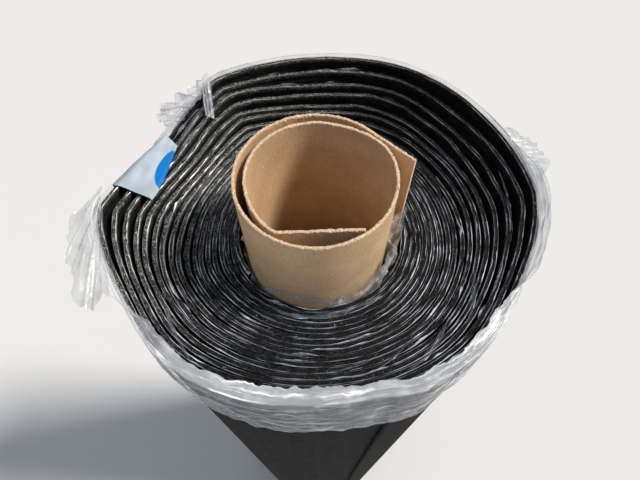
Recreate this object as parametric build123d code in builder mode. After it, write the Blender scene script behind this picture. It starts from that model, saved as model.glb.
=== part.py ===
from build123d import *
import os
from math import atan2, cos, degrees, radians, sin

# A roll of bitumen roofing felt, stood on its end. The felt is wound round a scroll of
# kraft board, tight on one side and loose on the other, so the roll is squashed out of
# round and its core lies off its middle. A bunched band of clear film holds the top.
# The floor is z = 0, and the middle of the roll's outline stands over the origin.

# Felt sheet, millimetres
sheet_width = 1000.0
sheet_thickness = 2.5
tight_gap = 0.65
turns = 17.75
turn_gap_depth = 30.0

# Bore that the felt leaves round its core, which lies against it on the tight side
core_radius = 41.4
core_clearance = 0.5
bore_shift = 9.0
bore_shift_bearing = 80.0

# Looseness of the winding, added up over all the turns, at even steps of bearing, and
# how much of it the outermost turns have: they have it all where the power is high. The
# steps run clockwise from the sharp corner on the left.
left_corner_bearing = 169.4
slack_round = (41.0, 29.0, 56.0, 58.0, 60.0, 50.0, 39.0, 17.0, 9.0, 2.0, 0.0, 5.0, 13.0, 18.0)
loosening_round = (3.1, 3.8, 2.9, 4.3, 3.8, 4.3, 3.8, 2.8, 2.4, 2.2, 2.2, 2.2, 1.7, 1.3)
creased_steps = (0, 2, 6)
points_per_step = 2
inner_end_steps = 1.5

# Core, a scroll of kraft board
board_thickness = 1.6
core_length = 1068.0
flap_bearing = 48.0
flap_length = 31.0
scroll_step_bearing = 375.0
scroll_step_sweep = 60.0
scroll_step_in = 5.6
inner_bend_bearing = 601.0
inner_bend_out = 2.2
inner_bend_sweep = 45.0
inner_end_bearing = 667.0
inner_end_clearance = 0.4
scroll_arcs = 14

# Film band, bunched over the rim at the front
film_clearance = 0.3
film_thickness = 1.2
film_width = 96.0
rim_lip_width = 10.0
rim_lip_thickness = 3.0
rim_lip_clearance = 0.3
rim_lip_start_steps = 7.5
rim_lip_steps = 5.0
film_back_drop = 1.0

# Printed label, folded over the flat side of the rim
label_thickness = 0.5
label_clearance = 0.3
label_drop = 42.0
label_start_steps = 0.3
label_steps = 0.8
label_near_reach = 110.0
label_far_reach = 122.0

knots = len(slack_round)
knot_angle = 360.0 / knots
points_per_turn = knots * points_per_step
inner_edge_bearing = left_corner_bearing + inner_end_steps * knot_angle
last_point = round(turns * points_per_turn)
turn_pitch = sheet_thickness + tight_gap
first_tight_turn = (inner_edge_bearing - bore_shift_bearing + 180.0) / 360.0 % 1.0
bore_radius = core_radius + core_clearance + bore_shift - first_tight_turn * turn_pitch


def all_round(values, bearing):
    """A smooth curve through values at even steps of bearing, with creases."""
    place = (left_corner_bearing - bearing) / knot_angle % knots
    step = int(place) % knots
    along = place - int(place)
    here, there = values[step], values[(step + 1) % knots]
    before, after = values[step - 1], values[(step + 2) % knots]
    leaving = there - here if step in creased_steps else (there - before) / 2
    arriving = there - here if (step + 1) % knots in creased_steps else (after - here) / 2
    bend = 3 * (there - here) - 2 * leaving - arriving
    return here + along * leaving + along**2 * bend + along**3 * (leaving + arriving - 2 * (there - here))


def bearing_at(turn):
    """The winding runs outwards clockwise, seen from above, from the felt's inner end."""
    return inner_edge_bearing - 360.0 * turn


def inner_reach(turn):
    """Distance from the core's axis to the felt's inner face, after so many turns."""
    bearing = bearing_at(turn)
    bore = bore_radius + bore_shift * cos(radians(bearing - bore_shift_bearing))
    spread = max(turn / turns, 0.0) ** all_round(loosening_round, bearing)
    return bore + turn * turn_pitch + all_round(slack_round, bearing) * spread


def outer_reach(turn):
    return inner_reach(turn) + sheet_thickness


def film_reach(turn):
    return outer_reach(turn) + film_clearance + film_thickness


def polar(bearing, reach):
    return (reach * cos(radians(bearing)), reach * sin(radians(bearing)))


def turns_between(first, last):
    """Places along the winding, in turns, one for each corner of the drawn spiral."""
    return [point / points_per_turn for point in range(first, last + 1)]


# The last turn, without its lap, is what the film goes round, and it gives the middle
last_turn = turns_between(last_point - points_per_turn + 1, last_point)
film_outline = [polar(bearing_at(turn), film_reach(turn)) for turn in last_turn]
middle_x = (max(x for x, y in film_outline) + min(x for x, y in film_outline)) / 2
middle_y = (max(y for x, y in film_outline) + min(y for x, y in film_outline)) / 2


def in_plan(bearing, reach):
    """A point in the part's frame, from its bearing and distance seen from the core."""
    x, y = polar(bearing, reach)
    return (x - middle_x, y - middle_y)


def spiral(places, reach):
    return [in_plan(bearing_at(turn), reach(turn)) for turn in places]


# The felt: one wound body with its bore, and the gap between its turns open at both ends
roll_outline = spiral(turns_between(last_point - points_per_turn, last_point), outer_reach)
bore_outline = spiral(turns_between(0, points_per_turn), inner_reach)
half_point = 0.5 / points_per_turn
gap_places = turns_between(0, last_point - points_per_turn)
gap_places = [-half_point] + gap_places + [gap_places[-1] + half_point]
gap_outline = spiral(gap_places, outer_reach)
gap_outline += reversed([in_plan(bearing_at(turn), inner_reach(turn + 1)) for turn in gap_places])

with BuildPart() as membrane_roll:
    with BuildSketch():
        with BuildLine():
            Polyline(*roll_outline, close=True)
        make_face()
        with BuildLine():
            Polyline(*bore_outline, close=True)
        make_face(mode=Mode.SUBTRACT)
    extrude(amount=sheet_width)
    for level in (0, sheet_width - turn_gap_depth):
        with BuildSketch(Plane.XY.offset(level)):
            with BuildLine():
                Polyline(*gap_outline, close=True)
            make_face()
        extrude(amount=turn_gap_depth, mode=Mode.SUBTRACT)


# The core: a straight flap, a turn, a step inwards under the flap, most of a second turn
# and a last stretch that stays flat
def smooth(share):
    share = min(max(share, 0.0), 1.0)
    return share * share * (3 - 2 * share)


board_radius = core_radius - board_thickness / 2


def scroll_reach(bearing):
    """Distance from the core's axis to the middle of the board."""
    step_in = scroll_step_in * smooth((bearing - scroll_step_bearing) / scroll_step_sweep)
    bend_start = inner_bend_bearing - inner_bend_sweep
    bend_out = inner_bend_out * smooth((bearing - bend_start) / inner_bend_sweep)
    return board_radius - step_in + bend_out


def beside(point, bearing, distance):
    """A point moved some way along a bearing."""
    step_x, step_y = polar(bearing, distance)
    return (point[0] + step_x, point[1] + step_y)


def scroll_point(bearing, side):
    return in_plan(bearing, scroll_reach(bearing) + side)


scroll_sweep = inner_bend_bearing - flap_bearing
arc_ends = [flap_bearing + scroll_sweep * arc / scroll_arcs for arc in range(scroll_arcs + 1)]
flap_end = beside(scroll_point(flap_bearing, 0), flap_bearing - 90, flap_length)
flat_start = scroll_point(inner_bend_bearing, 0)
flat_end = in_plan(inner_end_bearing, board_radius - board_thickness - inner_end_clearance)
flat_side_bearing = degrees(atan2(flat_end[1] - flat_start[1], flat_end[0] - flat_start[0])) - 90
half_bend = (flat_side_bearing % 360 - inner_bend_bearing % 360) / 2
half_thickness = board_thickness / 2

with BuildPart() as core_insert:
    with BuildSketch():
        with BuildLine():
            for side in (half_thickness, -half_thickness):
                bend_corner = beside(flat_start, inner_bend_bearing + half_bend, side / cos(radians(half_bend)))
                Line(beside(flap_end, flap_bearing, side), scroll_point(flap_bearing, side))
                for start, stop in zip(arc_ends[:-2], arc_ends[1:-1]):
                    half_way = (start + stop) / 2
                    ThreePointArc(scroll_point(start, side), scroll_point(half_way, side), scroll_point(stop, side))
                half_way = (arc_ends[-2] + arc_ends[-1]) / 2
                ThreePointArc(scroll_point(arc_ends[-2], side), scroll_point(half_way, side), bend_corner)
                Line(bend_corner, beside(flat_end, flat_side_bearing, side))
            Line(beside(flap_end, flap_bearing, half_thickness), beside(flap_end, flap_bearing, -half_thickness))
            Line(
                beside(flat_end, flat_side_bearing, half_thickness),
                beside(flat_end, flat_side_bearing, -half_thickness),
            )
        make_face()
    extrude(amount=core_length)


# The film: a band round the top of the roll, drawn over the rim at the front
def film_seat(turn):
    return outer_reach(turn) + film_clearance


def lip_reach(turn):
    return outer_reach(turn) - rim_lip_width


def past_lip_start(turn):
    """Degrees clockwise from where the film first lies over the rim."""
    lip_start_bearing = left_corner_bearing - rim_lip_start_steps * knot_angle
    return round(lip_start_bearing - bearing_at(turn), 3) % 360


lip_sweep = round(rim_lip_steps * knot_angle, 3)
lip_places = sorted((turn for turn in last_turn if past_lip_start(turn) <= lip_sweep), key=past_lip_start)
rim_level = sheet_width + rim_lip_clearance

with BuildPart() as wrap_film:
    with BuildSketch(Plane.XY.offset(sheet_width - film_width)):
        with BuildLine():
            Polyline(*spiral(last_turn, film_reach), close=True)
        make_face()
        with BuildLine():
            Polyline(*spiral(last_turn, film_seat), close=True)
        make_face(mode=Mode.SUBTRACT)
    extrude(amount=film_width - film_back_drop)
    for level, height, inside in (
        (sheet_width - film_back_drop, film_back_drop + rim_lip_clearance, film_seat),
        (rim_level, rim_lip_thickness, lip_reach),
    ):
        with BuildSketch(Plane.XY.offset(level)):
            with BuildLine():
                Polyline(*spiral(lip_places, film_reach), *reversed(spiral(lip_places, inside)), close=True)
            make_face()
        extrude(amount=height)


# The label: a strip laid over the ends of the outer turns and folded down over the film
def label_seat(turn):
    return film_reach(turn) + label_clearance


def label_face(turn):
    return label_seat(turn) + label_thickness


label_near_bearing = left_corner_bearing - label_start_steps * knot_angle
label_far_bearing = label_near_bearing - label_steps * knot_angle
roll_reach = max(label_face(turn) for turn in last_turn)
label_footprint = (
    in_plan(label_near_bearing, 2 * roll_reach),
    in_plan(label_near_bearing, label_near_reach),
    in_plan(label_far_bearing, label_far_reach),
    in_plan(label_far_bearing, 2 * roll_reach),
)

with BuildPart() as label:
    with BuildSketch(Plane.XY.offset(sheet_width - label_drop)):
        with BuildLine():
            Polyline(*spiral(last_turn, label_face), close=True)
        make_face()
        with BuildLine():
            Polyline(*spiral(last_turn, label_seat), close=True)
        make_face(mode=Mode.SUBTRACT)
        with BuildLine():
            Polyline(*label_footprint, close=True)
        make_face(mode=Mode.INTERSECT)
    extrude(amount=label_drop + label_clearance)
    with BuildSketch(Plane.XY.offset(sheet_width + label_clearance)):
        with BuildLine():
            Polyline(*spiral(last_turn, label_face), close=True)
        make_face()
        with BuildLine():
            Polyline(*label_footprint, close=True)
        make_face(mode=Mode.INTERSECT)
    extrude(amount=label_thickness)

os.makedirs("parts", exist_ok=True)
membrane_roll.part.label = "membrane_roll"
core_insert.part.label = "core_insert"
wrap_film.part.label = "wrap_film"
label.part.label = "label"
export_step(membrane_roll.part, "parts/membrane_roll.step")
export_step(core_insert.part, "parts/core_insert.step")
export_step(wrap_film.part, "parts/wrap_film.step")
export_step(label.part, "parts/label.step")
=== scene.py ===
# %% [markdown]
# # A standing roll of roofing felt, seen from above
#
# Roofing felt is a sheet of black bitumen, a metre wide, about ten metres long and as
# thick as a coin. It is wound on a core of rolled kraft board and held by clear film. This
# roll stands on its end. Its turns are tight on one side and loose on the other, so that it
# has been squashed out of round.
#
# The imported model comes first. It fixes every size, and each piece below takes the place of
# one of its solids or lies on it.

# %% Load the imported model
from math import cos, radians, sin

import bmesh
import bpy
import numpy as np
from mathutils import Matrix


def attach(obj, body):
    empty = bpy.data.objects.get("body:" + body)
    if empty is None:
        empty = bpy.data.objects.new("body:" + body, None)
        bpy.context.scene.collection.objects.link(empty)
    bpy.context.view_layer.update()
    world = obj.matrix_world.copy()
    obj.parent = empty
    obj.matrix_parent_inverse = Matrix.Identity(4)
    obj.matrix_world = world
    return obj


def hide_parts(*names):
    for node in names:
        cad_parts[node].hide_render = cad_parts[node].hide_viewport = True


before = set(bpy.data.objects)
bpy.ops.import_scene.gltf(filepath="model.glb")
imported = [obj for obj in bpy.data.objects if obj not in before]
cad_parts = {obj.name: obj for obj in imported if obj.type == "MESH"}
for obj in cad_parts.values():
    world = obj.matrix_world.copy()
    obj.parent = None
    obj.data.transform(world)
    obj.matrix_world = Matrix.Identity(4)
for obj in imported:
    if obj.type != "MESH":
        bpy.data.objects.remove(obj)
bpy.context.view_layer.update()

# %% [markdown]
# ## The camera
#
# The roll is seen from above and from close by, so that its near edge looks much larger than
# the far one. The lens and the height come from the rim's outline: only one pair of them
# makes a level rim fit the picture.

# %% The camera
camera_lens, camera_place, camera_tilt = 27.5625, (0.000745, -0.1834, 1.260), 30
camera_data = bpy.data.cameras.new("camera")
camera_data.lens = camera_lens
camera = bpy.data.objects.new("camera", camera_data)
camera.location = camera_place
camera.rotation_euler = (radians(camera_tilt), 0, 0)
bpy.context.scene.collection.objects.link(camera)
bpy.context.scene.camera = camera
print("the camera stands at", *camera.location)

# %% [markdown]
# ## Shader sums as Python
#
# A pattern in a material is a sum of noises, and a sum is easier to read as a line of
# Python than as a chain of nodes. `Value` stands for one output of a node, and adding or
# multiplying two of them adds the Math node that does it. Every other node comes from one
# method, `Finish.node`, which sets the node's own settings first and then its sockets.


# %% One class for values and one for materials
class Value:
    """What comes out of one shader node, ready for + - and *."""

    def __init__(self, finish, socket):
        self.finish, self.socket = finish, socket

    def sum(self, operation, *terms):
        """Adds the Math node for that operation on the terms."""
        return self.finish.node("ShaderNodeMath", {"operation": operation}, dict(enumerate(terms)))

    def __add__(self, other):
        return self.sum("ADD", self, other)

    def __radd__(self, other):
        return self.sum("ADD", other, self)

    def __sub__(self, other):
        return self.sum("SUBTRACT", self, other)

    def __rsub__(self, other):
        return self.sum("SUBTRACT", other, self)

    def __mul__(self, other):
        return self.sum("MULTIPLY", self, other)

    def __rmul__(self, other):
        return self.sum("MULTIPLY", other, self)

    def between(self, low, high):
        """0 below low, 1 above high and smooth between."""
        settings = {"interpolation_type": "SMOOTHSTEP"}
        return self.finish.node("ShaderNodeMapRange", settings, {0: self, 1: low, 2: high})


class Finish:
    """A material that is worked out from noises, node by node."""

    def __init__(self, name):
        self.material = bpy.data.materials.new(name)
        self.material.use_nodes = True
        self.material.node_tree.nodes.clear()

    def node(self, kind, settings, inputs, output=0):
        """Adds a node and gives one of its outputs. An input is a number, a colour, or a Value,
        which is linked."""
        node = self.material.node_tree.nodes.new(kind)
        for name, value in settings.items():
            setattr(node, name, value)
        for name, value in inputs.items():
            if isinstance(value, Value):
                self.material.node_tree.links.new(value.socket, node.inputs[name])
            else:
                node.inputs[name].default_value = value
        return Value(self, node.outputs[output]) if node.outputs else None

    def place(self, scale=(1, 1, 1)):
        """Where a point of the piece is, in metres."""
        spot = self.node("ShaderNodeTexCoord", {}, {}, "Object")
        return self.node("ShaderNodeMapping", {}, {"Vector": spot, "Scale": scale})

    def on_sheet(self, length, width):
        """Where a point lies on the flat sheet that a piece was made from, which is taken to be
        so many units long and wide."""
        spot = self.node("ShaderNodeTexCoord", {}, {}, "UV")
        return self.node("ShaderNodeMapping", {}, {"Vector": spot, "Scale": (length, width, 1)})

    def noise(self, vector, size, detail=2.0, roughness=0.5):
        """A noise whose patches are about that size, in metres."""
        inputs = {"Vector": vector, "Scale": 1 / size, "Detail": detail, "Roughness": roughness}
        return self.node("ShaderNodeTexNoise", {}, inputs)

    def written(self, name):
        """What the mesh has written down for each of its points under that name."""
        return self.node("ShaderNodeAttribute", {"attribute_name": name}, {}, "Fac")

    def towards(self, spot, x_share, y_share, low, high):
        """0 to 1 across the part, over a level distance made of shares of x and y."""
        x = self.node("ShaderNodeSeparateXYZ", {}, {0: spot}, 0)
        y = self.node("ShaderNodeSeparateXYZ", {}, {0: spot}, 1)
        return (x_share * x + y_share * y).between(low, high)

    def painted_sheen_side(self, spot):
        """1 on the left and at the back left, where a painted sheen makes the cut and its film
        paler, else 0.
        """
        return self.towards(spot, -0.75, 0.5, -0.02, 0.07)

    def mix(self, share, first, second):
        """A colour between two, which may be colours or values."""
        first, second = [(*c, 1) if isinstance(c, tuple) else c for c in (first, second)]
        settings = {"data_type": "RGBA"}
        return self.node("ShaderNodeMix", settings, {0: share, 6: first, 7: second}, 2)

    def relief(self, height, depth):
        """Normals for a height from 0 to 1 that stands for that many metres."""
        inputs = {"Height": height, "Distance": depth, "Strength": 1.0}
        return self.node("ShaderNodeBump", {}, inputs)

    def surface(self, **sockets):
        """The shader itself, with its sockets named in lower case."""
        inputs = {}
        for name, value in sockets.items():
            inputs[name.replace("_", " ").title().replace("Ior", "IOR")] = value
        shader = self.node("ShaderNodeBsdfPrincipled", {}, inputs)
        self.node("ShaderNodeOutputMaterial", {}, {"Surface": shader})
        print("the finish", self.material.name, "has", len(self.material.node_tree.nodes), "nodes")
        return self.material


# %% [markdown]
# ## The stage and the light
#
# A pale floor, a soft sun and two soft lamps. The sun is high on the right: from there it
# lights the inside of the core on the left and leaves its front in soft shade. Together they
# are as bright as white paper needs to look white and no brighter.


# %% The floor and the sky
def stage_finish(name, colour):
    """A dull finish of one colour."""
    finish = Finish(name)
    return finish.surface(base_color=(*colour, 1), roughness=0.9)


floor_reach = 6
floor_mesh = bmesh.new()
bmesh.ops.create_grid(floor_mesh, x_segments=1, y_segments=1, size=floor_reach)
floor_data = bpy.data.meshes.new("floor")
floor_mesh.to_mesh(floor_data)
floor_mesh.free()
floor_data.materials.append(stage_finish("pale_floor", (0.66, 0.66, 0.66)))
floor = bpy.data.objects.new("floor", floor_data)
bpy.context.scene.collection.objects.link(floor)
print("the floor is", 2 * floor_reach, "m wide")

world = bpy.data.worlds.new("soft_sky")
world.use_nodes = True
sky = world.node_tree
dim = sky.nodes["Background"]
dim.inputs["Color"].default_value = (0.76, 0.84, 0.96, 1)
dim.inputs["Strength"].default_value = 0.33
white = sky.nodes.new("ShaderNodeBackground")
white.inputs["Color"].default_value = (0.86, 0.87, 0.88, 1)
seen_by_camera = sky.nodes.new("ShaderNodeLightPath").outputs["Is Camera Ray"]
either = sky.nodes.new("ShaderNodeMixShader")
sky.links.new(seen_by_camera, either.inputs[0])
sky.links.new(dim.outputs[0], either.inputs[1])
sky.links.new(white.outputs[0], either.inputs[2])
sky.links.new(either.outputs[0], sky.nodes["World Output"].inputs["Surface"])
bpy.context.scene.world = world
bpy.context.scene.view_settings.view_transform = "Standard"


# %% The lamps
lit_height = 1.0


def lamp(name, kind, bearing, elevation, power, colour, distance=2.2, **settings):
    """A lamp that looks at the middle of the roll's upper end, from a bearing and height in
    degrees. The settings are those of its kind of lamp."""
    data = bpy.data.lights.new(name, kind)
    data.energy, data.color = power, colour
    for setting, value in settings.items():
        setattr(data, setting, value)
    made = bpy.data.objects.new(name, data)
    away, above = distance * cos(radians(elevation)), distance * sin(radians(elevation))
    made.location = (
        away * cos(radians(bearing)),
        away * sin(radians(bearing)),
        lit_height + above,
    )
    made.rotation_euler = (radians(90 - elevation), 0, radians(bearing + 90))
    bpy.context.scene.collection.objects.link(made)
    print("the lamp", name, "shines from bearing", bearing, "and", elevation, "degrees up")


warm, cool, nearly_white = (1.0, 0.95, 0.88), (0.90, 0.95, 1.0), (0.95, 0.97, 1.0)
lamp("key", "SUN", bearing=3, elevation=52, power=3.9, colour=warm, angle=radians(12))
lamp("fill", "AREA", bearing=205, elevation=50, power=4, colour=cool, size=1.6)
lamp("top", "AREA", bearing=120, elevation=75, power=5, colour=nearly_white, size=1.2)

# %% [markdown]
# ## Where the felt lies
#
# The felt's winding is a spiral about the core's axis. Its distance from the axis grows by
# the felt's thickness and a little air with each turn, and by slack that differs all round:
# none at the front, and most at the back left, where a corner has been pressed into it.
# These are the values of the part's source, in metres and degrees, so that the wound felt
# lands on its solid.

# %% The winding
sheet_width, sheet_thickness, tight_gap, turns = 1.0, 0.0025, 0.00065, 17.75
core_radius, core_clearance = 0.0414, 0.0005
bore_shift, bore_shift_bearing = 0.009, 80.0
left_corner_bearing, creased_steps, inner_end_steps = 169.4, (0, 2, 6), 1.5
slack_round = np.array((41, 29, 56, 58, 60, 50, 39, 17, 9, 2, 0, 5, 13, 18)) / 1000
loosening_round = np.array((3.1, 3.8, 2.9, 4.3, 3.8, 4.3, 3.8, 2.8, 2.4, 2.2, 2.2, 2.2, 1.7, 1.3))
film_stand_off = 0.0015

knots = len(slack_round)
knot_angle = 360 / knots
inner_edge_bearing = left_corner_bearing + inner_end_steps * knot_angle
turn_pitch = sheet_thickness + tight_gap
first_tight_turn = (inner_edge_bearing - bore_shift_bearing + 180) / 360 % 1
bore_radius = core_radius + core_clearance + bore_shift - first_tight_turn * turn_pitch


def all_round(values, bearing):
    """A smooth curve through values at even steps all round, with creases."""
    place = (left_corner_bearing - bearing) / knot_angle % knots
    step = np.floor(place).astype(int) % knots
    along = place - np.floor(place)
    here, there = values[step], values[(step + 1) % knots]
    before, after = values[step - 1], values[(step + 2) % knots]
    from_crease = np.isin(step, creased_steps)
    to_crease = np.isin((step + 1) % knots, creased_steps)
    leaving = np.where(from_crease, there - here, (there - before) / 2)
    arriving = np.where(to_crease, there - here, (after - here) / 2)
    bend = 3 * (there - here) - 2 * leaving - arriving
    twist = leaving + arriving - 2 * (there - here)
    return here + along * leaving + along**2 * bend + along**3 * twist


def bearing_at(turn):
    """Where the winding has got to after so many turns, in degrees."""
    return inner_edge_bearing - 360 * turn


def inner_reach(turn):
    """From the core's axis to the felt's inner face, after so many turns."""
    bearing = bearing_at(turn)
    bore = bore_radius + bore_shift * np.cos(np.radians(bearing - bore_shift_bearing))
    spread = (np.maximum(turn, 0) / turns) ** all_round(loosening_round, bearing)
    return bore + turn * turn_pitch + all_round(slack_round, bearing) * spread


def polar(bearing, reach):
    """Points in plan, from their bearings and their distances from the core's axis."""
    return np.stack((reach * np.cos(np.radians(bearing)), reach * np.sin(np.radians(bearing))), -1)


last_turn = np.linspace(turns - 1, turns, 721)
rim_reach = inner_reach(last_turn) + sheet_thickness + film_stand_off
rim_outline = polar(bearing_at(last_turn), rim_reach)
core_axis = -(rim_outline.max(0) + rim_outline.min(0)) / 2

# %% [markdown]
# ## Helpers for rolled sheets
#
# Felt, board and film are all flat sheets that have been bent round something, so all are
# made in the same way. A flat grid is made by an operator, with its columns along the sheet
# and its rows round the sheet's cut section. Then each of its points is moved to where the
# winding takes it, the seam is merged and the ends are closed. The grid keeps its flat
# places in its UV map, so a pattern can follow the sheet round the roll.
#
# Real sheets are never even. `wander` gives smooth random numbers along a sheet and
# `crumple` gives them over its whole area, both from seeds, so that every run is the same.


# %% Smooth random numbers
def wander(places, length, seed):
    """From -1 to 1 along places, changing over about that length."""
    steps = places / length
    whole = np.floor(steps).astype(int)
    part = steps - whole
    ends = np.random.default_rng(seed).uniform(-1, 1, whole.max() + 2)
    ease = part * part * (3 - 2 * part)
    return ends[whole] * (1 - ease) + ends[whole + 1] * ease


def crumple(along, across, length, width, seed, loop=None):
    """From -1 to 1 over a sheet, in patches of that length and width. It closes on itself
    after the length of a loop, which is a whole number of patches."""
    columns = along / length
    rows = across / width - np.floor((across / width).min())
    i, j = np.floor(columns).astype(int), np.floor(rows).astype(int)
    u, v = columns - i, rows - j
    u, v = u * u * (3 - 2 * u), v * v * (3 - 2 * v)
    wide = round(loop / length) if loop else i.max() + 2
    ends = np.random.default_rng(seed).uniform(-1, 1, (wide, j.max() + 2))
    i, k = i % wide, (i + 1) % wide
    near = ends[i, j] * (1 - u) + ends[k, j] * u
    far = ends[i, j + 1] * (1 - u) + ends[k, j + 1] * u
    return near * (1 - v) + far * v


# %% From a flat grid to a wound sheet
def bent_sheet(name, columns, rows, put, finish, marks=None, tube=False, ring=False, crisp=False):
    """A flat grid whose points go to put(along, across), both from 0 to 1. A tube's rows close
    round its section and its ends are filled; a ring's columns close on themselves. Marks
    are functions for the numbers to be written down for each point, by name."""
    sheet = bmesh.new()
    sheet.loops.layers.uv.new("UVMap")
    bmesh.ops.create_grid(sheet, x_segments=columns, y_segments=rows, size=1, calc_uvs=True)
    flat = np.array([vertex.co[:2] for vertex in sheet.verts])
    along, across = (flat[:, 0] + 1) / 2, (flat[:, 1] + 1) / 2
    for vertex, spot in zip(sheet.verts, put(along, across)):
        vertex.co = spot
    for mark, value in (marks or {}).items():
        layer = sheet.verts.layers.float.new(mark)
        for vertex, number in zip(sheet.verts, value(along, across)):
            vertex[layer] = number
    if tube or ring:
        edge = [v for v in sheet.verts if v.is_boundary]
        bmesh.ops.remove_doubles(sheet, verts=edge, dist=1e-7)
    if tube:
        bmesh.ops.holes_fill(sheet, edges=[e for e in sheet.edges if e.is_boundary])
        bmesh.ops.recalc_face_normals(sheet, faces=sheet.faces)
    return finished(name, sheet, finish, crisp)


def finished(name, form, finish, crisp):
    """Makes an object of a bmesh, in its place and riding on the roll. It is smooth, unless
    it is crisp like crumpled film."""
    data = bpy.data.meshes.new(name)
    for face in form.faces:
        face.smooth = not crisp
    form.to_mesh(data)
    form.free()
    data.materials.append(finish)
    made = bpy.data.objects.new(name, data)
    bpy.context.scene.collection.objects.link(made)
    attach(made, "root")
    print(name, "has", len(data.vertices), "points and", len(data.polygons), "faces")
    return made


# %% [markdown]
# ## The felt
#
# Eighteen turns of one sheet, so it is one long thin body and not eighteen rings. Its
# section is a tall narrow loop, with two small lips where the film on either face stands up
# along the cut and a hollow between them. The turns never lie quite level or evenly apart,
# and that is what makes the end of a roll look wound and not printed: each turn wanders up
# and down by a millimetre, and sideways by a share of the room that its neighbours leave it.
# A Screw modifier or a bevelled curve would wind a sheet too, but all its turns alike.
#
# The finish tells the cut edge, which the knife has left rough and sandy, from the two faces,
# which are covered with film, shine a little and carry painted glints: thin pale streaks that
# stand for light on the film. On the left and at the back left the cut is painted paler, a
# painted sheen.
# Sand and lumps are as long as they are wide, so they read the place in space. Streaks and
# grain are drawn out along the sheet, so they read its flat UV map.


# %% The felt's finish
uv_length, uv_round = 9.5, 2.0  # metres of felt across its UV map, along it and round its section


def felt_finish():
    """Black felt: sandy along its cut edge, with a painted sheen on the cut at the left and
    painted glints on its faces.
    """
    felt = Finish("bitumen_felt")
    spot = felt.place()
    # painted sheen: the cut and the film along it are painted paler on the left and at the back
    # left
    painted_sheen = felt.painted_sheen_side(spot)
    cut = felt.written("cut")
    sand = felt.noise(spot, 0.0010, 3, 0.7)
    lumps = felt.noise(spot, 0.004, 2)
    drawn = felt.noise(felt.on_sheet(uv_length / 0.012, uv_round / 0.16), 1.0, 3, 0.6)
    grain = felt.noise(felt.on_sheet(uv_length / 0.0030, uv_round / 0.0010), 1.0, 3, 0.7)
    # painted glints: thin pale streaks round the roll on the felt's faces stand for light on their
    # film
    painted_film_glints = felt.noise(felt.place(scale=(0.05, 0.05, 1)), 0.0016, 4, 0.65)
    faded = (sand * 0.7 + drawn * 0.3).between(0.44, 0.62)
    face = felt.mix(faded, (0.005, 0.005, 0.0055), (0.022, 0.022, 0.023))
    face = felt.mix(painted_film_glints.between(0.54, 0.70) * 0.7, face, (0.085, 0.088, 0.095))
    # the cut's grit is painted far paler where the painted sheen is
    grit_with_painted_sheen = felt.mix(painted_sheen, (0.026, 0.028, 0.031), (0.24, 0.24, 0.22))
    gritty = (sand * 0.5 + grain * 0.5).between(0.49, 0.58)
    edge = felt.mix(gritty, (0.003, 0.003, 0.003), grit_with_painted_sheen)
    glint = (felt.noise(spot, 0.0024, 5, 0.9) + 0.05 * painted_sheen).between(0.60, 0.70)
    edge = felt.mix(glint * 0.8, edge, felt.mix(painted_sheen, (0.36, 0.39, 0.44), (0.62, 0.62, 0.59)))
    return felt.surface(
        base_color=felt.mix(cut, face, edge),
        roughness=0.85 - 0.25 * cut * lumps,
        specular_ior_level=0.08,
        normal=felt.relief(sand * 0.6 + lumps * 0.4, 0.0008),
    )


# %% The felt's section
half_felt = sheet_thickness / 2
face_levels = sheet_width * np.array((0.0008, 0.05, 0.25, 0.5, 0.75, 0.95, 0.985, 0.9965, 0.9997))
lip_top, hollow = sheet_width + 0.0001, sheet_width - 0.00025
felt_section = np.array(
    [(-half_felt, level) for level in face_levels]
    + [(-0.8 * half_felt, lip_top), (-0.35 * half_felt, hollow)]
    + [(0.35 * half_felt, hollow), (0.8 * half_felt, lip_top)]
    + [(half_felt, level) for level in reversed(face_levels)]
    + [(0.5 * half_felt, 0), (-0.5 * half_felt, 0), (-half_felt, face_levels[0])]
)
cut_rows = range(len(face_levels) - 1, len(face_levels) + 5)
felt_rows = len(felt_section) - 1
print("the felt's section has", felt_rows, "sides, and", len(cut_rows), "of its points are cut")

# %% The felt's line in plan
fine_points = 40001
fine_turns = np.linspace(0, turns, fine_points)
fine_line = polar(bearing_at(fine_turns), inner_reach(fine_turns) + half_felt) + core_axis
fine_steps = np.linalg.norm(np.diff(fine_line, axis=0), axis=1)
fine_length = np.concatenate(([0], np.cumsum(fine_steps)))
felt_length = fine_length[-1]
print("the felt is", round(felt_length, 2), "m long")

# air outside the last turn, and how far ahead and behind the felt's way is told from
room_outside, line_step = 0.002, 0.0015


def turn_along(share):
    """The turn reached at a share of the felt's length."""
    return np.interp(share * felt_length, fine_length, fine_turns)


def gap_after(turn):
    """Air between a turn and the next one outside it."""
    return inner_reach(turn + 1) - inner_reach(turn) - sheet_thickness


def room(turn):
    """Air beside a turn: the lesser of the gaps to its two neighbours."""
    outside = np.where(turn < turns - 1, gap_after(turn), room_outside)
    inside = np.where(turn > 1, gap_after(turn - 1), core_clearance)
    return np.minimum(outside, inside)


def felt_spots(share):
    """Points on the felt's middle line in plan."""
    metres = share * felt_length
    return np.stack([np.interp(metres, fine_length, fine_line[:, k]) for k in (0, 1)], -1)


def felt_line(share):
    """Points on the felt's middle line in plan, and the way outwards at each, which is told
    from the line just before and just behind it."""
    step = line_step / felt_length
    way = felt_spots(np.clip(share + step, 0, 1)) - felt_spots(np.clip(share - step, 0, 1))
    way /= np.linalg.norm(way, axis=1)[:, None]
    return felt_spots(share), np.stack((-way[:, 1], way[:, 0]), -1)


# %% The felt itself
felt_columns = 3100
# the most air that a turn makes use of, and the level up to which its edge's rise isn't felt
widest_room, even_below = 0.006, 0.95 * sheet_width


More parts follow.
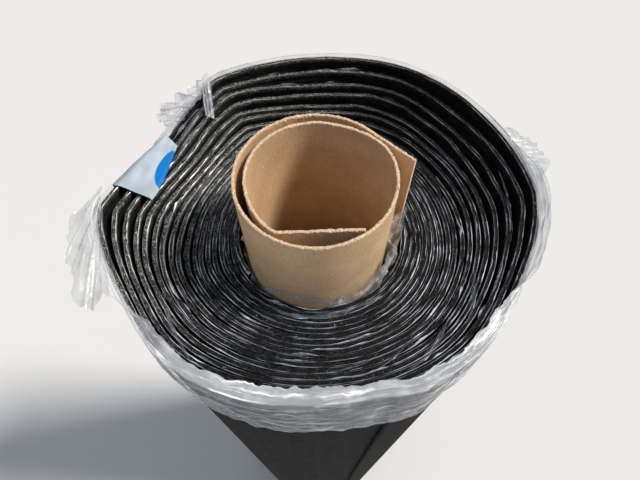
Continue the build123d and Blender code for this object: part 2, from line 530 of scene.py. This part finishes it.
def edge_rise(share):
    """How far the cut edge stands above or below the sheet's width."""
    metres = share * felt_length
    slow, quick = wander(metres, 0.16, 1), wander(metres, 0.045, 2)
    return 0.0007 * slow + 0.0005 * quick + 0.0002 * wander(metres, 0.009, 3)


def side_step(share):
    """How far the felt lies off its even spiral."""
    metres = share * felt_length
    free = np.minimum(room(turn_along(share)), widest_room)
    return free * (0.30 * wander(metres, 0.07, 4) + 0.14 * wander(metres, 0.022, 5))


def wound_felt(along, across):
    """Where a point goes, along the winding and round the section."""
    row = np.rint(across * felt_rows).astype(int)
    offset, level = felt_section[row].T
    spots, out = felt_line(along)
    nearness = np.clip((level - even_below) / (sheet_width - even_below), 0, 1)
    lean = 0.7 + 0.3 * level
    spots = spots + out * (offset + side_step(along) * lean)[:, None]
    return np.column_stack((spots, level + nearness * edge_rise(along)))


def is_row(rows, row_count):
    """A mark that is 1 on those rows of a grid's section, else 0."""
    return lambda along, across: np.isin(np.rint(across * row_count), list(rows)).astype(float)


felt_roll = bent_sheet(
    "felt_roll",
    felt_columns,
    felt_rows,
    wound_felt,
    tube=True,
    finish=felt_finish(),
    marks={"cut": is_row(cut_rows, felt_rows)},
)
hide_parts("membrane_roll")

# %% [markdown]
# ## The core
#
# One sheet of kraft board rolled up to nearly two turns. Outside it ends in a straight flap
# that springs away from the roll, inside in a stretch that has stayed flat. The board's line
# is laid out end to end, and the same grid is bent along it. Two tubes, one in the other,
# would be quicker to make, but the step, the flap and the gap are how one knows rolled board.
#
# Kraft board is pressed from brown fibres, so its faces are clouded and flecked. Its sawn
# edge is paler and has a fuzz of fibres standing up.


# %% The board's finish
def board_finish():
    """Brown board, paler where it has been sawn."""
    board = Finish("kraft_board")
    spot = board.place()
    cut = board.written("cut")
    fibre = board.noise(spot, 0.0010, 4, 0.75)
    cloud = board.noise(spot, 0.025, 4)
    fleck = board.noise(spot, 0.0013, 1).between(0.66, 0.74)
    pale_fleck = board.noise(spot, 0.0018, 1).between(0.67, 0.72)
    plain = board.mix(cloud.between(0.3, 0.7), (0.64, 0.43, 0.245), (0.80, 0.545, 0.325))
    grained = board.mix(fibre.between(0.35, 0.65) * 0.4, plain, (0.46, 0.30, 0.17))
    faced = board.mix(fleck * 0.40, grained, (0.22, 0.13, 0.07))
    faced = board.mix(pale_fleck * 0.6, faced, (0.85, 0.68, 0.48))
    sawn = board.mix(fibre.between(0.35, 0.62), (0.48, 0.30, 0.20), (0.82, 0.62, 0.45))
    return board.surface(
        base_color=board.mix(cut, faced, sawn),
        roughness=0.85,
        specular_ior_level=0.25,
        normal=board.relief(fibre, 0.0007),
    )


# %% The board's line in plan
board_thickness, core_length = 0.0016, 1.068
flap_bearing, flap_length = 48.0, 0.031
scroll_step_bearing, scroll_step_sweep, scroll_step_in = 375.0, 60.0, 0.0056
inner_bend_bearing, inner_bend_sweep, inner_bend_out = 601.0, 45.0, 0.0022
inner_end_bearing, inner_end_clearance = 667.0, 0.0004
board_radius = core_radius - board_thickness / 2


def smooth(share):
    """From 0 to 1, with a soft start and a soft end."""
    share = np.clip(share, 0, 1)
    return share * share * (3 - 2 * share)


scroll_bearings = np.arange(flap_bearing, inner_bend_bearing + 0.5, 1.0)
step_share = (scroll_bearings - scroll_step_bearing) / scroll_step_sweep
bend_share = (scroll_bearings - inner_bend_bearing + inner_bend_sweep) / inner_bend_sweep
scroll_reach = board_radius - scroll_step_in * smooth(step_share)
scroll_reach += inner_bend_out * smooth(bend_share)
scroll = polar(scroll_bearings, scroll_reach)
flap_end = scroll[0] + polar(np.array([flap_bearing - 90]), flap_length)[0]
inner_end_reach = board_radius - board_thickness - inner_end_clearance
flat_end = polar(np.array([inner_end_bearing]), inner_end_reach)[0]
board_corners = np.vstack((flap_end, scroll, flat_end)) + core_axis
corner_steps = np.linalg.norm(np.diff(board_corners, axis=0), axis=1)
corner_places = np.concatenate(([0], np.cumsum(corner_steps)))
board_length = corner_places[-1]
board_points, board_softenings = 1201, 30
board_places = np.linspace(0, board_length, board_points)
board_fine = [np.interp(board_places, corner_places, board_corners[:, k]) for k in (0, 1)]
board_fine = np.stack(board_fine, -1)
for _ in range(board_softenings):
    board_fine[1:-1] = (board_fine[:-2] + 2 * board_fine[1:-1] + board_fine[2:]) / 4
print("the board is", round(board_length, 3), "m long")


def along_line(line, share):
    """Points on a line at even shares of it, and the way to its right at each."""
    at = share * (len(line) - 1)
    every = np.arange(len(line))
    spots = np.stack([np.interp(at, every, line[:, k]) for k in (0, 1)], -1)
    ways = np.gradient(line, axis=0)
    way = np.stack([np.interp(at, every, ways[:, k]) for k in (0, 1)], -1)
    way /= np.linalg.norm(way, axis=1)[:, None]
    return spots, np.stack((way[:, 1], -way[:, 0]), -1)


# %% The board itself
board_columns, half_board = 1400, board_thickness / 2
fuzz_foot, fuzz_rise, shoulder_level = 1.0668, 0.0006, 1.0679
board_levels = (0.0006, 0.3, 0.7, 0.95, 0.99, 1.01, 1.04, 1.062, 1.0662, 1.0674)
board_section = np.array(
    [(-half_board, level) for level in board_levels]
    + [(-0.85 * half_board, shoulder_level), (-0.3 * half_board, core_length)]
    + [(0.3 * half_board, core_length), (0.85 * half_board, shoulder_level)]
    + [(half_board, level) for level in reversed(board_levels)]
    + [(0.5 * half_board, 0), (-0.5 * half_board, 0), (-half_board, board_levels[0])]
)
board_rows = len(board_section) - 1
board_cut_rows = range(len(board_levels), len(board_levels) + 4)


def rolled_board(along, across):
    """Where a point goes, along the board's line and round its section."""
    row = np.rint(across * board_rows).astype(int)
    offset, level = board_section[row].T
    spots, out = along_line(board_fine, along)
    metres = along * board_length
    at_edge = np.clip((level - fuzz_foot) / fuzz_rise, 0, 1)
    fuzz = 0.00035 * crumple(metres, row, 0.0007, 1.0, 21) + 0.00025 * wander(metres, 0.006, 22)
    fuzz = at_edge * fuzz
    burr = at_edge * 0.00028 * crumple(metres, row, 0.0008, 1.0, 23)
    spots = spots + out * (offset + burr)[:, None]
    return np.column_stack((spots, np.minimum(level + fuzz, core_length)))


core_board = bent_sheet(
    "core_board",
    board_columns,
    board_rows,
    rolled_board,
    tube=True,
    finish=board_finish(),
    marks={"cut": is_row(board_cut_rows, board_rows)},
)
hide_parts("core_insert")

# %% [markdown]
# ## Clear film
#
# Thin clear film is everywhere on this roll: on both faces of the felt, where its edges show
# as bright threads along the cut, round the outside as a bunched band, and loose in three
# places where it has torn. Film is a single skin here, without thickness. What the eye sees
# of it is not its colour but its creases, so every piece has real creases, and its material
# is clear in places and cloudy in others. A cloth simulation would find creases too, but film
# hardly resists a bend and these pieces are small, so each crease is put where it is wanted.


# %% The film's finish
def film_finish(name, colour, clear, cloudy, length, width, streak=(0.05, 0.004), seen=None):
    """Film that is clear in some places, and cloudy in others and along its creases, whose paler
    colour is a painted highlight. Length and width are those of the flat sheet, streak is how
    long and wide its streaks are, and seen names the mark that thins it out further."""
    film = Finish(name)
    stretched = film.on_sheet(length / streak[0], width / streak[1])
    streaks = film.noise(stretched, 1.0, 4, 0.6)
    patches = film.noise(film.place(), 0.009, 3)
    cloud = (streaks * 0.6 + patches * 0.4).between(0.44, 0.60)
    crease = streaks.between(0.56, 0.66)
    cover = clear + (cloudy - clear) * (0.5 * cloud + 0.5 * crease)
    flat_colour = tuple(0.7 * c for c in colour)
    # painted highlight: along the creases the film's colour is painted paler
    crease_highlight_colour = tuple(min(1.35 * c, 0.9) for c in colour)
    return film.surface(
        base_color=film.mix(crease, flat_colour, crease_highlight_colour),
        roughness=0.32 - 0.14 * streaks,
        specular_ior_level=0.8,
        alpha=cover * film.written(seen) if seen else cover,
        normal=film.relief(streaks, 0.0014),
    )


def thread_finish(name):
    """Thin pale lines, broken where the film has been cut away, and painted brightest on the left
    and at the back left, a painted sheen.
    """
    thread = Finish(name)
    spot = thread.place()
    painted_sheen = thread.painted_sheen_side(spot)
    broken = thread.noise(thread.on_sheet(uv_length / 0.0160, 1.0), 1.0, 6, 0.78)
    dull = thread.towards(spot, 0.6, 0.8, 0.0, 0.08)
    there = (0.35 + 0.65 * broken.between(0.40, 0.54)) * (1 - 0.55 * dull)
    # painted sheen: the threads' colour is paler on the left and at the back left
    pale_with_sheen = thread.mix(painted_sheen, (0.70, 0.74, 0.80), (0.84, 0.84, 0.84))
    return thread.surface(
        base_color=thread.mix(broken.between(0.42, 0.62), (0.08, 0.085, 0.10), pale_with_sheen),
        roughness=0.30,
        specular_ior_level=0.7,
        alpha=there * thread.written("seen"),
    )


# %% [markdown]
# ## The film along the felt's cut edge
#
# The knife that trimmed the felt tore the film on either face of it. The film's edge stands
# up along the cut as a pale thread, low where it was cut clean and bursting up or over the
# next turn where it was torn. A grid of four rows on either face is enough: the lower rows lie
# on the felt out of sight, and the upper two make the thread.

# %% The film along the felt's cut edge
thread_columns, thread_rows, thread_depth, thread_gap = 4800, 4, 0.010, 0.00008


def film_thread(side, seed):
    """Where the points of the film's edge go, on the felt's inner (-1) or outer (1) face."""

    def put(along, across):
        row = np.rint(across * thread_rows).astype(int)
        metres = along * felt_length
        bearing = np.radians(bearing_at(turn_along(along)))
        front = smooth(0.5 - 0.9 * np.sin(bearing))
        narrow = smooth(3 * np.abs(np.sin(bearing)) - 1.8)
        burst = wander(metres, 0.011, seed) + 0.55 * wander(metres, 0.05, seed + 1)
        burst = np.clip(burst - 0.50 + 0.15 * front, 0, 1)
        torn = 0.5 + 0.5 * wander(metres, 0.0035, seed + 2)
        rise = 0.0003 + 0.0002 * torn + 0.0022 * burst * torn
        push = -side * (thread_gap + (0.0006 - 0.00045 * narrow) * torn)
        push = push + 0.0022 * burst * wander(metres, 0.02, seed + 3)
        level = np.choose(row, (-thread_depth, -0.0012, 0.0, 0.6 * rise, rise))
        shift = np.choose(row, (0.0, 0.0, side * 0.00012, 0.5 * push, push))
        spots, out = felt_line(along)
        offset = side * (half_felt + thread_gap) + shift
        spots = spots + out * (offset + side_step(along))[:, None]
        return np.column_stack((spots, sheet_width + edge_rise(along) + level))

    return put


for name, side, seed in (("felt_film_inside", -1, 31), ("felt_film_outside", 1, 41)):
    thread = bent_sheet(
        name,
        thread_columns,
        thread_rows,
        film_thread(side, seed),
        finish=thread_finish(name),
        marks={"seen": lambda along, across: np.clip(4 * across - 1.6, 0, 1)},
    )

# %% [markdown]
# ## Shreds of that film
#
# Some strips of the film have come off the felt altogether and lie over the turns' edges.
# Each is a narrow sheet with pleats along it, broad in the middle and pointed at its ends. A
# flat ribbon would look like paper: it is the pleats that catch the light.

# %% Shreds of film
# where each lies: first and last bearing, distance from the core's axis at either end, width
shred_places = (
    (-34, -10, 0.1000, 0.0945, 0.0030),
    (-60, -32, 0.0930, 0.0880, 0.0034),
    (-70, -50, 0.0850, 0.0800, 0.0018),
    (-88, -66, 0.0790, 0.0780, 0.0016),
    (-162, -132, 0.0930, 0.0985, 0.0032),
    (-192, -168, 0.0925, 0.0915, 0.0018),
    (-118, -60, 0.0490, 0.0470, 0.0036),
    (-140, -112, 0.1010, 0.1040, 0.0024),
    (-48, -20, 0.1120, 0.1080, 0.0026),
    (3, 25, 0.1200, 0.1335, 0.0024),
    (-100, -40, 0.0440, 0.0500, 0.0030),
    (127, 141, 0.1405, 0.1285, 0.0024),
    (127, 142, 0.1345, 0.1225, 0.0022),
    (129, 143, 0.1280, 0.1170, 0.0018),
)
shred_flat_width, shred_columns, shred_rows = 0.010, 60, 8
shred_level, shred_colour, shred_streak = sheet_width + 0.0008, (0.54, 0.57, 0.63), (0.012, 0.003)


def film_shred(number, first, last, reach, last_reach, width):
    """A strip that has come free and is pleated to a fraction of its flat width. It lies
    along the turns, over their edges."""
    length = radians(last - first) * reach
    pleat = ((shred_flat_width / shred_rows) ** 2 - (width / shred_rows) ** 2) ** 0.5

    def put(along, across):
        row = np.rint(across * shred_rows)
        bearing = first + (last - first) * along
        arc = along * length
        taper = np.clip(4 * along * (1 - along), 0, 1) ** 0.8
        ragged = taper * (0.75 + 0.25 * wander(arc, 0.004, 100 + number))
        side = (across - 0.5) * width * ragged + 0.0006 * wander(arc, 0.02, 110 + number)
        side = side + 0.3 * pleat * ragged * crumple(arc, row, 0.004, 1.0, 120 + number)
        level = shred_level + pleat * ragged * (row % 2)
        spots = polar(bearing, reach + (last_reach - reach) * along + side) + core_axis
        return np.column_stack((spots, level))

    name = f"film_shred_{number}"
    finish = film_finish(name, shred_colour, 0.12, 0.85, length, shred_flat_width, shred_streak)
    shred = bent_sheet(name, shred_columns, shred_rows, put, finish=finish, crisp=True)


for number, place in enumerate(shred_places, 1):
    film_shred(number, *place)

# %% [markdown]
# ## The band of film round the outside
#
# The film that holds the roll was stretched round its upper edge. At the front and a little
# beside the label it has been drawn over the rim and lies on it; elsewhere it only stands
# beside the felt, and flares out at the two corners. It ends below in a ragged line. It is a
# ring, whose creases come from several sizes of `crumple` and meet at a seam at the back.

# %% The outline of the roll
compass_step = 0.25
compass = np.arange(0, 360, compass_step)
outer_turn = turns - 1 + (inner_edge_bearing - compass - 360 * (turns - 1)) / 360 % 1
outline_reach = inner_reach(outer_turn) + sheet_thickness
outline_softenings = 150
for _ in range(outline_softenings):
    wider = np.maximum(outline_reach, (np.roll(outline_reach, 1) + np.roll(outline_reach, -1)) / 2)
    outline_reach = (wider + (np.roll(wider, 1) + np.roll(wider, -1)) / 2) / 2
print("the roll reaches", outline_reach.min(), "to", outline_reach.max(), "m from the core's axis")


def outline(bearing):
    """How far the roll reaches, with its hollows bridged as stretched film bridges them."""
    return np.interp(bearing % 360, compass, outline_reach, period=360)


def window(bearing, first, last, blend):
    """1 from the first bearing to the last, falling to 0 over blend degrees on either side."""
    middle, reach = (first + last) / 2, (last - first) / 2
    away = np.abs((bearing - middle + 180) % 360 - 180)
    return smooth((reach + blend - away) / blend)


# %% The band itself
band_columns, band_rows, band_seam = 1100, 56, 76
band_turn, band_width, band_round = 0.20, 0.09, 0.90
band_level, band_foot = sheet_width + 0.003, sheet_width - 0.075
band_lip, band_off, band_least_off = 0.0088, 0.0012, 0.0010
# each place round the roll: first and last bearing, and the degrees that it fades over
drawn_over_front, drawn_over_beside_label = (-148, -24, 16), (124, 141, 5)
right_flare, left_flare, low_foot = (-6, 20, 12), (168, 196, 8), (-170, -120, 20)
under_label, hidden_at_back = (142, 161, 5), (52, 100, 34)
hidden_by_label, thinner_left = (145, 165, 5), (172, 215, 6)


def film_band_at(along, across):
    """Where a point goes, once round the roll and from the lip down to the foot."""
    bearing = band_seam + 360 * along
    arc = along * band_round

    def uneven(length, seed):
        """From -1 to 1 round the band, changing over about that length."""
        return crumple(arc, 0 * arc, length, 1.0, seed, band_round)

    over = window(bearing, *drawn_over_front) + 0.65 * window(bearing, *drawn_over_beside_label)
    flare = window(bearing, *right_flare) + 0.8 * window(bearing, *left_flare)
    lip = band_lip + 0.0012 * uneven(0.05, 51) + 0.0007 * uneven(0.009, 52)
    lip += 0.0005 * uneven(0.003, 50)
    bottom = band_foot + 0.005 * uneven(0.06, 53) + 0.003 * uneven(0.010, 54)
    bottom += 0.012 * window(bearing, *low_foot)
    upper = np.clip(1 - across / band_turn, 0, 1)
    lower = np.clip((across - band_turn) / (1 - band_turn), 0, 1)
    folds = 1 - 2 * np.abs(crumple(arc, across, 0.10, 0.055, 55, band_round))
    small = 1 - 2 * np.abs(crumple(arc, across, 0.02, 0.030, 56, band_round))
    slant = 1 - 2 * np.abs(crumple(arc + 0.10 * across, across, 0.012, 0.5, 57, band_round))
    crease = 1 - 2 * np.abs(crumple(arc - 0.07 * across, across, 0.03, 0.09, 58, band_round))
    wave = band_off + 0.0006 * folds + 0.0003 * small + 0.0003 * slant
    wave = wave + np.minimum(5 * lower, 1) * (0.0004 * small + 0.0009 * crease)
    wave = np.maximum(wave * (1 - 0.6 * window(bearing, *under_label)), band_least_off)
    outward = -over * lip * upper + (1 - over) * (0.0005 + 0.0045 * flare) * upper
    level = band_level + over * (0.0004 * folds + 0.0003 * small - 0.0004 * upper)
    level = level + (1 - over) * (0.005 * flare - 0.001) * upper
    reach = outline(bearing) + wave + outward
    level = level - lower * (level - bottom)
    return np.column_stack((polar(bearing, reach) + core_axis, level))


def band_seen(along, across):
    """The band is bright over the rim, thinner below it and under the label, and thinnest at
    the back."""
    bearing = band_seam + 360 * along
    hidden = 0.75 * window(bearing, *hidden_at_back) + 0.6 * window(bearing, *hidden_by_label)
    front = 1 - hidden - 0.45 * window(bearing, *thinner_left)
    over = window(bearing, *drawn_over_front)
    return front * (1 - 0.36 * over * smooth((across - band_turn) / 0.1))


film_band = bent_sheet(
    "film_band",
    band_columns,
    band_rows,
    film_band_at,
    ring=True,
    finish=film_finish(
        "film_band",
        colour=(0.86, 0.90, 0.96),
        clear=0.52,
        cloudy=1.0,
        length=band_round,
        width=band_width,
        streak=(0.050, 0.0050),
        seen="seen",
    ),
    marks={"seen": band_seen},
)
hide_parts("wrap_film")

# %% [markdown]
# ## Loose film
#
# Torn film gathers where it is held and fans out where it is free. Each loose piece is a
# small grid between two lines, one where it is held and one where it is free, and its pleats
# run from the first to the second. They wander, because even ones look like folded paper.


# %% A gathered piece
columns_per_pleat, gathered_rows = 9, 18


def gathered(name, held_line, free_line, pleats, depth, seed, finish):
    """A piece of film from the line where it is held to the line where it is free, with so
    many pleats of that depth."""
    held_line, free_line = np.array(held_line), np.array(free_line)
    held_at = np.linspace(0, 1, len(held_line))
    free_at = np.linspace(0, 1, len(free_line))

    def put(along, across):
        near = np.stack([np.interp(along, held_at, held_line[:, k]) for k in range(3)], -1)
        far = np.stack([np.interp(along, free_at, free_line[:, k]) for k in range(3)], -1)
        pleat = along * pleats
        uneven = 0.08 * wander(pleat, 0.9, seed) + 0.03 * wander(pleat, 0.25, seed + 1)
        ragged = across * (1 + uneven)
        spots = near + (far - near) * ragged[:, None]
        size = 0.25 + 0.75 * ragged
        fold = np.sin(2 * np.pi * pleat + 2.4 * wander(pleat, 1.3, seed + 2))
        fold = fold + 0.8 * crumple(pleat, across, 0.7, 0.22, seed + 3)
        spots[:, 2] += depth * size * fold
        spots[:, 0] += 0.5 * depth * size * crumple(pleat, across, 0.5, 0.3, seed + 4)
        spots[:, 1] += 0.5 * depth * size * crumple(pleat, across, 0.5, 0.3, seed + 5)
        return spots

    columns = columns_per_pleat * pleats
    piece = bent_sheet(name, columns, gathered_rows, put, finish=finish, crisp=True)


# %% A fan at the left corner
gathered(
    "film_fan",
    held_line=[(-0.1400, 0.0060, 1.003), (-0.1395, -0.0040, 1.003), (-0.1360, -0.0160, 1.003)],
    free_line=[
        (-0.1560, -0.0180, 1.0),
        (-0.1550, -0.0380, 0.995),
        (-0.1510, -0.0590, 0.985),
        (-0.1370, -0.0700, 0.985),
        (-0.1260, -0.0640, 0.99),
    ],
    pleats=8,
    depth=0.0018,
    seed=61,
    finish=film_finish("film_fan", (0.50, 0.52, 0.54), 0.32, 0.80, 0.055, 0.06, (0.007, 0.04)),
)

# %% A bunch at the corner at the back left, and a strip that runs from it over the turns
gathered(
    "film_bunch",
    held_line=[
        (-0.0968, 0.0598, 1.004),
        (-0.0919, 0.0723, 1.004),
        (-0.0850, 0.0850, 1.004),
        (-0.0790, 0.1050, 1.004),
    ],
    free_line=[
        (-0.1060, 0.0600, 0.998),
        (-0.1160, 0.0690, 0.996),
        (-0.1165, 0.0813, 0.998),
        (-0.1000, 0.0890, 1.002),
        (-0.0850, 0.1080, 1.004),
    ],
    pleats=8,
    depth=0.0026,
    seed=71,
    finish=film_finish("film_bunch", (0.72, 0.74, 0.79), 0.25, 0.95, 0.055, 0.022, (0.007, 0.009)),
)
gathered(
    "film_strip",
    held_line=[(-0.0805, 0.0665, 1.0035), (-0.0735, 0.0635, 1.0035)],
    free_line=[(-0.0860, 0.0930, 1.0050), (-0.0800, 0.0985, 1.0045)],
    pleats=3,
    depth=0.0011,
    seed=76,
    finish=film_finish("film_strip", (0.74, 0.76, 0.82), 0.45, 0.95, 0.010, 0.034, (0.005, 0.008)),
)

# %% A tuft at the right corner
gathered(
    "film_corner",
    held_line=[(0.1274, 0.0561, 1.003), (0.1370, 0.0330, 1.003), (0.1405, 0.0140, 1.002)],
    free_line=[
        (0.1330, 0.0550, 1.004),
        (0.1500, 0.0430, 1.001),
        (0.1570, 0.0280, 0.998),
        (0.1480, 0.0120, 0.995),
    ],
    pleats=7,
    depth=0.0014,
    seed=81,
    finish=film_finish("film_corner", (0.54, 0.57, 0.62), 0.35, 0.90, 0.05, 0.015, (0.008, 0.012)),
)

# %% [markdown]
# ## Film round the core
#
# The core stands in the middle of the roll with a sleeve of film about it. The sleeve is
# pinched at the front, where core and felt touch, and crumples where there is room. It goes
# round the board's flap, up to the felt's innermost turn and no further.


# %% The sleeve
sleeve_columns, sleeve_rows, sleeve_seam = 300, 44, 100
sleeve_round, sleeve_width = 0.29, 0.065
sleeve_foot, sleeve_top = sheet_width - 0.06, sheet_width + 0.001
pinched_above, pinched_over = sheet_width - 0.002, 0.006
sleeve_high_front, sleeve_high_right = (-115, -60, 30), (-25, 12, 32)
crumpled_right, crumpled_left = (-68, 25, 20), (-175, -138, 18)
off_board, off_felt, sleeve_room = 0.0004, 0.0008, (0.0006, 0.009)


def sleeve_crumpled(bearing):
    """1 where the sleeve is crumpled, at the right and the left of the front, else 0."""
    return np.clip(window(bearing, *crumpled_right) + 0.6 * window(bearing, *crumpled_left), 0, 1)


def core_reach(bearing):
    """How far the board reaches from its axis, with its flap."""
    flap_end_bearing = flap_bearing - np.degrees(np.arctan(flap_length / board_radius)) - 1
    on_flap = (bearing > flap_end_bearing) & (bearing < flap_bearing)
    turned = np.radians(np.where(on_flap, flap_bearing - bearing, 0))
    return board_radius / np.cos(turned) + half_board


def sleeve_at(along, across):
    """Where a point goes, once round the core and from the foot up to the edge."""
    bearing = (sleeve_seam + 360 * along) % 360
    arc = along * sleeve_round
    crumpled = sleeve_crumpled(bearing)
    uneven = crumple(arc, 0 * arc, 0.0145, 1.0, 91, sleeve_round)
    ragged = crumple(arc, 0 * arc, 0.00725, 1.0, 90, sleeve_round)
    top = sleeve_top + 0.012 * window(bearing, *sleeve_high_front)
    top = top + 0.028 * window(bearing, *sleeve_high_right)
    top = top + 0.0012 * uneven + 0.004 * crumpled * ragged
    level = sleeve_foot + (top - sleeve_foot) * across
    inner = core_reach(bearing) + off_board
    bore = inner_reach((inner_edge_bearing - bearing) / 360 % 1) - off_felt
    free = np.clip(bore - inner, *sleeve_room)
    fold = np.abs(crumple(arc, across, 0.010, 0.20, 92, sleeve_round))
    small = np.abs(crumple(arc, across, 0.005, 0.10, 93, sleeve_round))
    pinched = smooth((level - pinched_above) / pinched_over) * (1 - 0.85 * crumpled)
    loose = 1 + 1.2 * crumpled
    off = free * np.clip(loose * (0.75 * fold + 0.25 * small), 0, 1) * (1 - 0.92 * pinched)
    return np.column_stack((polar(bearing, inner + off) + core_axis, level))


def sleeve_seen(along, across):
    """The sleeve shows where it is crumpled, and else only as a line along its edge."""
    at_edge = smooth((across - 0.935) / 0.02)
    return np.clip(0.22 + sleeve_crumpled(sleeve_seam + 360 * along) + at_edge, 0, 1)


core_film = bent_sheet(
    "core_film",
    sleeve_columns,
    sleeve_rows,
    sleeve_at,
    ring=True,
    finish=film_finish(
        "core_film",
        colour=(0.88, 0.90, 0.92),
        clear=0.26,
        cloudy=1.0,
        length=sleeve_round,
        width=sleeve_width,
        streak=(0.006, 0.012),
        seen="seen",
    ),
    marks={"seen": sleeve_seen},
    crisp=True,
)

# %% [markdown]
# ## The label
#
# A strip of printed film. It lies over the outermost turns and is folded down over the film
# band, which lies smooth under it. It is one grid: its upper rows go from an inner line over
# the turns to an outer one, and the lower rows hang down the wall. Its print is a pale ground
# with one round blue patch at the inner edge, cut off by it.


# %% The label's finish
def label_finish():
    """A pale ground with a blue patch that the label's inner edge cuts off."""
    label = Finish("printed_film")
    spot = label.node("ShaderNodeTexCoord", {}, {}, "UV")
    across = label.node("ShaderNodeSeparateXYZ", {}, {0: spot}, 0)
    down = label.node("ShaderNodeSeparateXYZ", {}, {0: spot}, 1)
    # how many of the patch's half widths go across the label, and how many of its depths down
    patch_middle, half_widths_across, depths_down = 0.62, 3.6, 6.5
    from_middle = (across - patch_middle) * half_widths_across
    from_edge = down * depths_down
    patch = 1 - (from_middle * from_middle + from_edge * from_edge).between(0.95, 1.08)
    soil = label.noise(label.place(), 0.02, 3)
    plain = label.mix(soil.between(0.35, 0.7), (0.36, 0.42, 0.47), (0.46, 0.53, 0.58))
    return label.surface(
        base_color=label.mix(patch, plain, (0.0, 0.16, 0.50)),
        roughness=0.6,
        specular_ior_level=0.2,
        normal=label.relief(soil, 0.0005),
    )


# %% The label itself
label_inner = np.array([(-105.2, 31.4), (-102.1, 40.0), (-98.3, 58.1), (-95.6, 76.3)]) / 1000
label_outer = np.array([(-127.2, 41.6), (-121.5, 54.0), (-113.3, 69.5), (-103.8, 84.5)]) / 1000
label_fold, label_drop, label_level, label_off = 0.4, 0.040, sheet_width + 0.0025, 0.0022
label_columns, label_rows, label_size = 60, 50, (0.052, 0.066)


def label_at(along, across):
    """Where a point goes, along the rim and from the inner edge over it and down the wall."""
    places = np.linspace(0, 1, len(label_inner))
    inner = np.stack([np.interp(along, places, label_inner[:, k]) for k in (0, 1)], -1)
    outer = np.stack([np.interp(along, places, label_outer[:, k]) for k in (0, 1)], -1)
    over = np.clip(across / label_fold, 0, 1)
    below = np.clip((across - label_fold) / (1 - label_fold), 0, 1)
    spots = inner + (outer - inner) * over[:, None]
    bearing = np.degrees(np.arctan2(spots[:, 1], spots[:, 0]))
    wall = polar(bearing, outline(bearing) + label_off)
    spots = np.where((below > 0)[:, None], wall, spots)
    ripple = 0.0003 * wander(spots[:, 0] + 0.2, 0.006, 95)
    ripple = ripple + 0.0004 * crumple(along, across, 0.2, 0.1, 96)
    level = label_level + ripple - 0.0016 * (1 - smooth(over * 20)) - label_drop * below
    return np.column_stack((spots + core_axis, level))


roll_label = bent_sheet("roll_label", label_columns, label_rows, label_at, finish=label_finish())
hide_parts("label")
